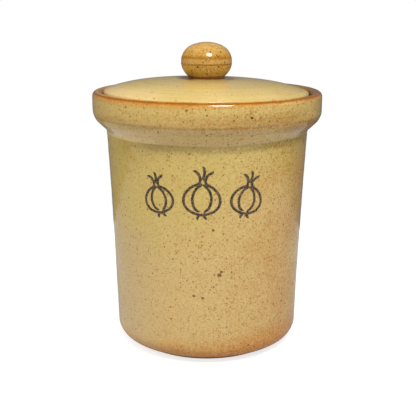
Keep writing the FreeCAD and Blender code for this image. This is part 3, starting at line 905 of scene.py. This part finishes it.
def knob_section(size):
    """The knob's section. The crown's arc runs smoothly on from the side's."""
    foot = KNOB_LOW.z - size.lid_sink
    top = KNOB_HIGH.z - size.lid_sink - size.knob_sink
    widest = KNOB_HIGH.x + size.knob_swell
    waist = foot + size.knob_waist
    under = (widest - size.knob_under, waist)
    side = (widest - size.knob_side, waist)
    belt_low, belt_high = waist - size.belt_below, waist + size.belt_above
    crown_rise = top - waist
    square = side[0] ** 2 + crown_rise**2 - size.knob_side**2
    crown_curve = square / (2 * (crown_rise - size.knob_side))
    crown = (0, top - crown_curve)
    stretch = crown_curve / (crown_curve - size.knob_side)
    meeting = [c + (s - c) * stretch for c, s in zip(crown, side)]
    belt_edge = on_arc(side, size.knob_side, belt_high)[0] + size.belt_step

    section = Section(0, foot - SLIP_SPREAD)
    section.line(size.knob_foot + SLIP_SPREAD, foot - SLIP_SPREAD)
    section.line(size.knob_foot, foot + SLIP_HEIGHT, SLIP_ROUND)
    section.line(*on_arc(under, size.knob_under, foot + size.knob_foot_height))
    section.arc(under, *on_arc(under, size.knob_under, belt_low - UNDER_BELT), steps=16)
    section.line(widest, belt_low)
    section.line(belt_edge, belt_high - BELT_BEVEL)
    section.line(*on_arc(side, size.knob_side, belt_high + BELT_BEVEL))
    section.arc(side, *meeting, steps=16)
    section.arc(crown, 0, top, steps=18)
    section.soften()
    section.refine(LONGEST_KNOB_RUN)
    return section


class CANISTER_OT_knob(bpy.types.Operator):
    """Turn the ball knob, with its narrow belt and the slip that lutes it to the lid"""

    bl_idname = "canister.knob"
    bl_label = "Ball Knob"

    def execute(self, context):
        size, colours = start_piece(context)
        mesh = knob_section(size).spun()
        throwing_marks(mesh, KNOB_MARK_DEPTH)
        bmesh.ops.translate(mesh, verts=mesh.verts, vec=(-size.lid_shift, 0, 0))
        show("ball_knob", mesh, knob_glaze(colours), "lid", "knob_glaze", "lid_knob")
        return {"FINISHED"}


# Each stroke is the line of points, in millimetres, that the brush passes through. The onion's
# sides and the lines on its skin are drawn on the right, and mirrored.
ONION_SIDE = ((1.7, 14), (2.6, 10.9), (7.6, 8), (11.6, 3), (12.2, -2.8), (9, -7.6), (3, -10.2))
ONION_SKIN = ((0.9, 10.2), (4.6, 6.4), (6.4, 0.4), (5, -5.6), (1.6, -8.8))
ONION_BASE = (0.6, -10.6)


def mirrored(stroke):
    return tuple((-across, up) for across, up in stroke)


ONION_STROKES = (
    (*mirrored(ONION_SIDE), ONION_BASE),
    (*ONION_SIDE, ONION_BASE),
    ((-1.7, 14), (-3, 17.4), (-6.2, 20)),
    ((0, 14.4), (0.9, 18.2), (0.2, 22.4)),
    ((1.7, 14), (3.6, 17.2), (7.2, 19.2)),
    mirrored(ONION_SKIN),
    ONION_SKIN,
    ((-1.4, -10.8), (-3, -13.8)),
    ((1.8, -10.8), (3.6, -13.6)),
)
# Each onion: how far across and up from the middle of the row, its size, and its lean in degrees.
ONION_ROW = ((-33, -1.2, 0.92, 9), (0, 0.6, 1.08, -3), (33.5, -0.8, 0.96, -10))
ROW_MIDDLE = (-3.6, 131)
# The wall's radius at the drawings, the steps of a curve between two points, and a dab's slant
DRAWN_RADIUS = JAR_HIGH.x - 12 * MM
CURVE_STEPS = 24
DAB_SLANT = math.radians(42)


def smooth_line(through):
    """A smooth line through the points, in close steps."""
    before = [through[0], *through[:-1]]
    after = [*through[1:], through[-1]]
    slopes = [(b - a) / 6 for a, b in zip(before, after)]
    points = []
    for index in range(len(through) - 1):
        start, end = through[index], through[index + 1]
        handles = start + slopes[index], end - slopes[index + 1]
        points += interpolate_bezier(start, *handles, end, CURVE_STEPS)[:-1]
    return [*points, through[-1]]


def lay_dab(mesh, wall, point, heading, size):
    """One dab of ink: a flat lens that lies on the wall."""
    angle = point.x * MM / DRAWN_RADIUS
    outward = Vector((math.sin(angle), -math.cos(angle), 0))
    outside = outward * JAR_HIGH.x * 2 + Vector((0, 0, point.y * MM))
    place, normal, _, _ = wall.ray_cast(outside, -outward)
    level = Vector((0, 0, 1)).cross(normal).normalized()
    upright = normal.cross(level)
    along = (level * heading.x + upright * heading.y).normalized()
    across = normal.cross(along)
    lie = Matrix((along, across, normal)).transposed().to_4x4()
    slant = Matrix.Rotation(DAB_SLANT, 4, "Z")
    shape = Matrix.Diagonal((size.link_length, size.link_width, size.link_proud * 2, 1))
    lens = bmesh.new()
    matrix = Matrix.Translation(place) @ lie @ slant @ shape
    bmesh.ops.create_uvsphere(lens, u_segments=8, v_segments=4, radius=0.5, matrix=matrix)
    data = finished(lens, "dab")
    mesh.from_mesh(data)
    bpy.data.meshes.remove(data)


def lay_stroke(mesh, wall, points, size):
    """Lay the dabs along a line on the wall, each slanted across it."""
    left = 0
    for start, end in zip(points, points[1:]):
        step = (end - start) * MM
        left -= step.length
        if left > 0:
            continue
        left += size.link_step
        lay_dab(mesh, wall, start, step.normalized(), size)


class CANISTER_OT_onions(bpy.types.Operator):
    """Draw a row of three plain onions round the wall, in a line of slanted dabs like twisted cord"""

    bl_idname = "canister.onions"
    bl_label = "Drawn Onions"

    def execute(self, context):
        size, colours = start_piece(context)
        jar = bpy.data.objects.get("turned_jar")
        if jar is None:
            raise RuntimeError("turn the jar first: the onions are drawn on its wall")
        wall = BVHTree.FromObject(jar, context.evaluated_depsgraph_get())
        mesh = bmesh.new()
        for across, up, scale, lean in ONION_ROW:
            turn = Matrix.Rotation(math.radians(lean), 2)
            middle = Vector((across + ROW_MIDDLE[0], up + ROW_MIDDLE[1]))
            for stroke in ONION_STROKES:
                through = [turn @ Vector(point) * scale + middle for point in stroke]
                lay_stroke(mesh, wall, smooth_line(through), size)
        show("onion_drawings", mesh, drawn_ink(colours), "jar", "jar_glaze")
        return {"FINISHED"}


# Each lamp: azimuth and elevation in degrees, distance, width and height in metres, radiance, and
# whether the glaze mirrors it. Azimuth 0 is in front, and grows to the right.
LAMPS = {
    "Key Window": (17, 50, 1.25, 0.45, 0.45, 25, True),
    "Backdrop": (180, 15, 1.2, 1.8, 1, 0.55, False),
    "Left Window": (-66, 36, 1.5, 1.1, 0.9, 2.4, False),
    "Right Fill": (100, 32, 1.6, 1, 0.9, 1.2, False),
    "Ceiling": (-10, 68, 1.3, 1.1, 0.8, 2.6, False),
    "Left Card": (-98, -3, 0.9, 0.7, 0.3, 2.8, False),
    "Right Card": (40, -3, 0.9, 0.5, 0.25, 2.6, False),
}

# The table lies just under the foot. The eye sees it lifted by its glow.
TABLE_RADIUS = 0.75
TABLE_MIDDLE = (-0.05, -0.42, -0.0001)
TABLE_GLOW = 0.75
# How bright the room is for everything but the camera, which sees it white
ROOM_LIGHT = 0.16

# The camera's place in metres, its turns in degrees, and its sensor and lens in millimetres
CAMERA_PLACE = (0.0009, -0.64, 0.2678)
CAMERA_TILT = 75.82
CAMERA_ROLL = 0.21
SENSOR_WIDTH = 36
LENS = 69.88


def set_floor(tint):
    """A round table top, whose white is lifted to the background's for the eye alone."""
    mesh = bmesh.new()
    bmesh.ops.create_circle(mesh, cap_ends=True, segments=96, radius=TABLE_RADIUS)
    bmesh.ops.translate(mesh, verts=mesh.verts, vec=TABLE_MIDDLE)
    material, wires, shader = new_material("Pale Floor")
    wires.feed(shader, {
        "Base Color": tint,
        "Roughness": 0.9,
        "Specular IOR Level": 0,
        "Emission Color": (1, 1, 1),
        "Emission Strength": wires.times(wires.seen(), TABLE_GLOW),
    })
    floor = put("studio_floor", finished(mesh, "studio_floor", material))


def set_room(scene):
    """White where the camera looks past the table, and a dim room for everything else."""
    world = bpy.data.worlds.new("Dim White Room")
    world.use_nodes = True
    scene.world = world
    wires = Wiring(world.node_tree)
    background = next(node for node in world.node_tree.nodes if node.type == "BACKGROUND")
    strength = wires.scaled(wires.seen(), 1 - ROOM_LIGHT, ROOM_LIGHT)
    wires.feed(background, {"Color": (1, 1, 1), "Strength": strength})


def set_lamp(name, azimuth, elevation, away, wide, tall, radiance, mirrored):
    """A soft oval lamp that faces the pot."""
    data = bpy.data.lights.new(name, "AREA")
    data.shape = "ELLIPSE"
    data.size, data.size_y, data.energy = wide, tall, radiance * math.pi**2 / 4 * wide * tall
    lamp = put(name, data)
    turn, rise = math.radians(azimuth), math.radians(elevation)
    level = Vector((math.sin(turn), -math.cos(turn), 0))
    outward = level * math.cos(rise) + Vector((0, 0, math.sin(rise)))
    lamp.location = Vector((0, 0, JAR_HIGH.z)) + outward * away
    lamp.rotation_euler = outward.to_track_quat("Z", "Y").to_euler()
    lamp.visible_camera = False
    lamp.visible_glossy = mirrored


def set_camera(scene):
    data = bpy.data.cameras.new("Camera")
    data.sensor_width = SENSOR_WIDTH
    data.lens = LENS
    camera = put("Camera", data)
    tilt = Matrix.Rotation(math.radians(CAMERA_TILT), 4, "X")
    roll = Matrix.Rotation(math.radians(CAMERA_ROLL), 4, "Z")
    camera.matrix_world = Matrix.Translation(CAMERA_PLACE) @ tilt @ roll
    scene.camera = camera


class CANISTER_OT_studio(bpy.types.Operator):
    """Set the pale floor, the soft light and the camera"""

    bl_idname = "canister.studio"
    bl_label = "Studio"

    def execute(self, context):
        set_floor(context.scene.canister_colours.floor)
        set_room(context.scene)
        for name, settings in LAMPS.items():
            set_lamp(name, *settings)
        set_camera(context.scene)
        context.scene.view_settings.view_transform = "Standard"
        return {"FINISHED"}


class CANISTER_PT_panel(bpy.types.Panel):
    """The canister's pieces, sizes and colours"""

    bl_idname = "CANISTER_PT_panel"
    bl_label = "Stoneware Canister"
    bl_space_type = "VIEW_3D"
    bl_region_type = "UI"
    bl_category = "Canister"

    def draw(self, context):
        layout = self.layout
        for operator in OPERATORS:
            layout.operator(operator.bl_idname)
        for settings in (context.scene.canister_sizes, context.scene.canister_colours):
            box = layout.box()
            for name in settings.__annotations__:
                box.prop(settings, name)


OPERATORS = (CANISTER_OT_studio, CANISTER_OT_jar, CANISTER_OT_lid, CANISTER_OT_knob, CANISTER_OT_onions)
CLASSES = (CanisterSizes, CanisterColours, *OPERATORS, CANISTER_PT_panel)


def register():
    for cls in CLASSES:
        bpy.utils.register_class(cls)
    bpy.types.Scene.canister_sizes = bpy.props.PointerProperty(type=CanisterSizes)
    bpy.types.Scene.canister_colours = bpy.props.PointerProperty(type=CanisterColours)


def unregister():
    del bpy.types.Scene.canister_colours
    del bpy.types.Scene.canister_sizes
    for cls in reversed(CLASSES):
        bpy.utils.unregister_class(cls)


def main():
    register()
    bpy.ops.canister.studio()
    bpy.ops.canister.jar()
    bpy.ops.canister.lid()
    bpy.ops.canister.knob()
    bpy.ops.canister.onions()


if __name__ == "__main__":
    main()
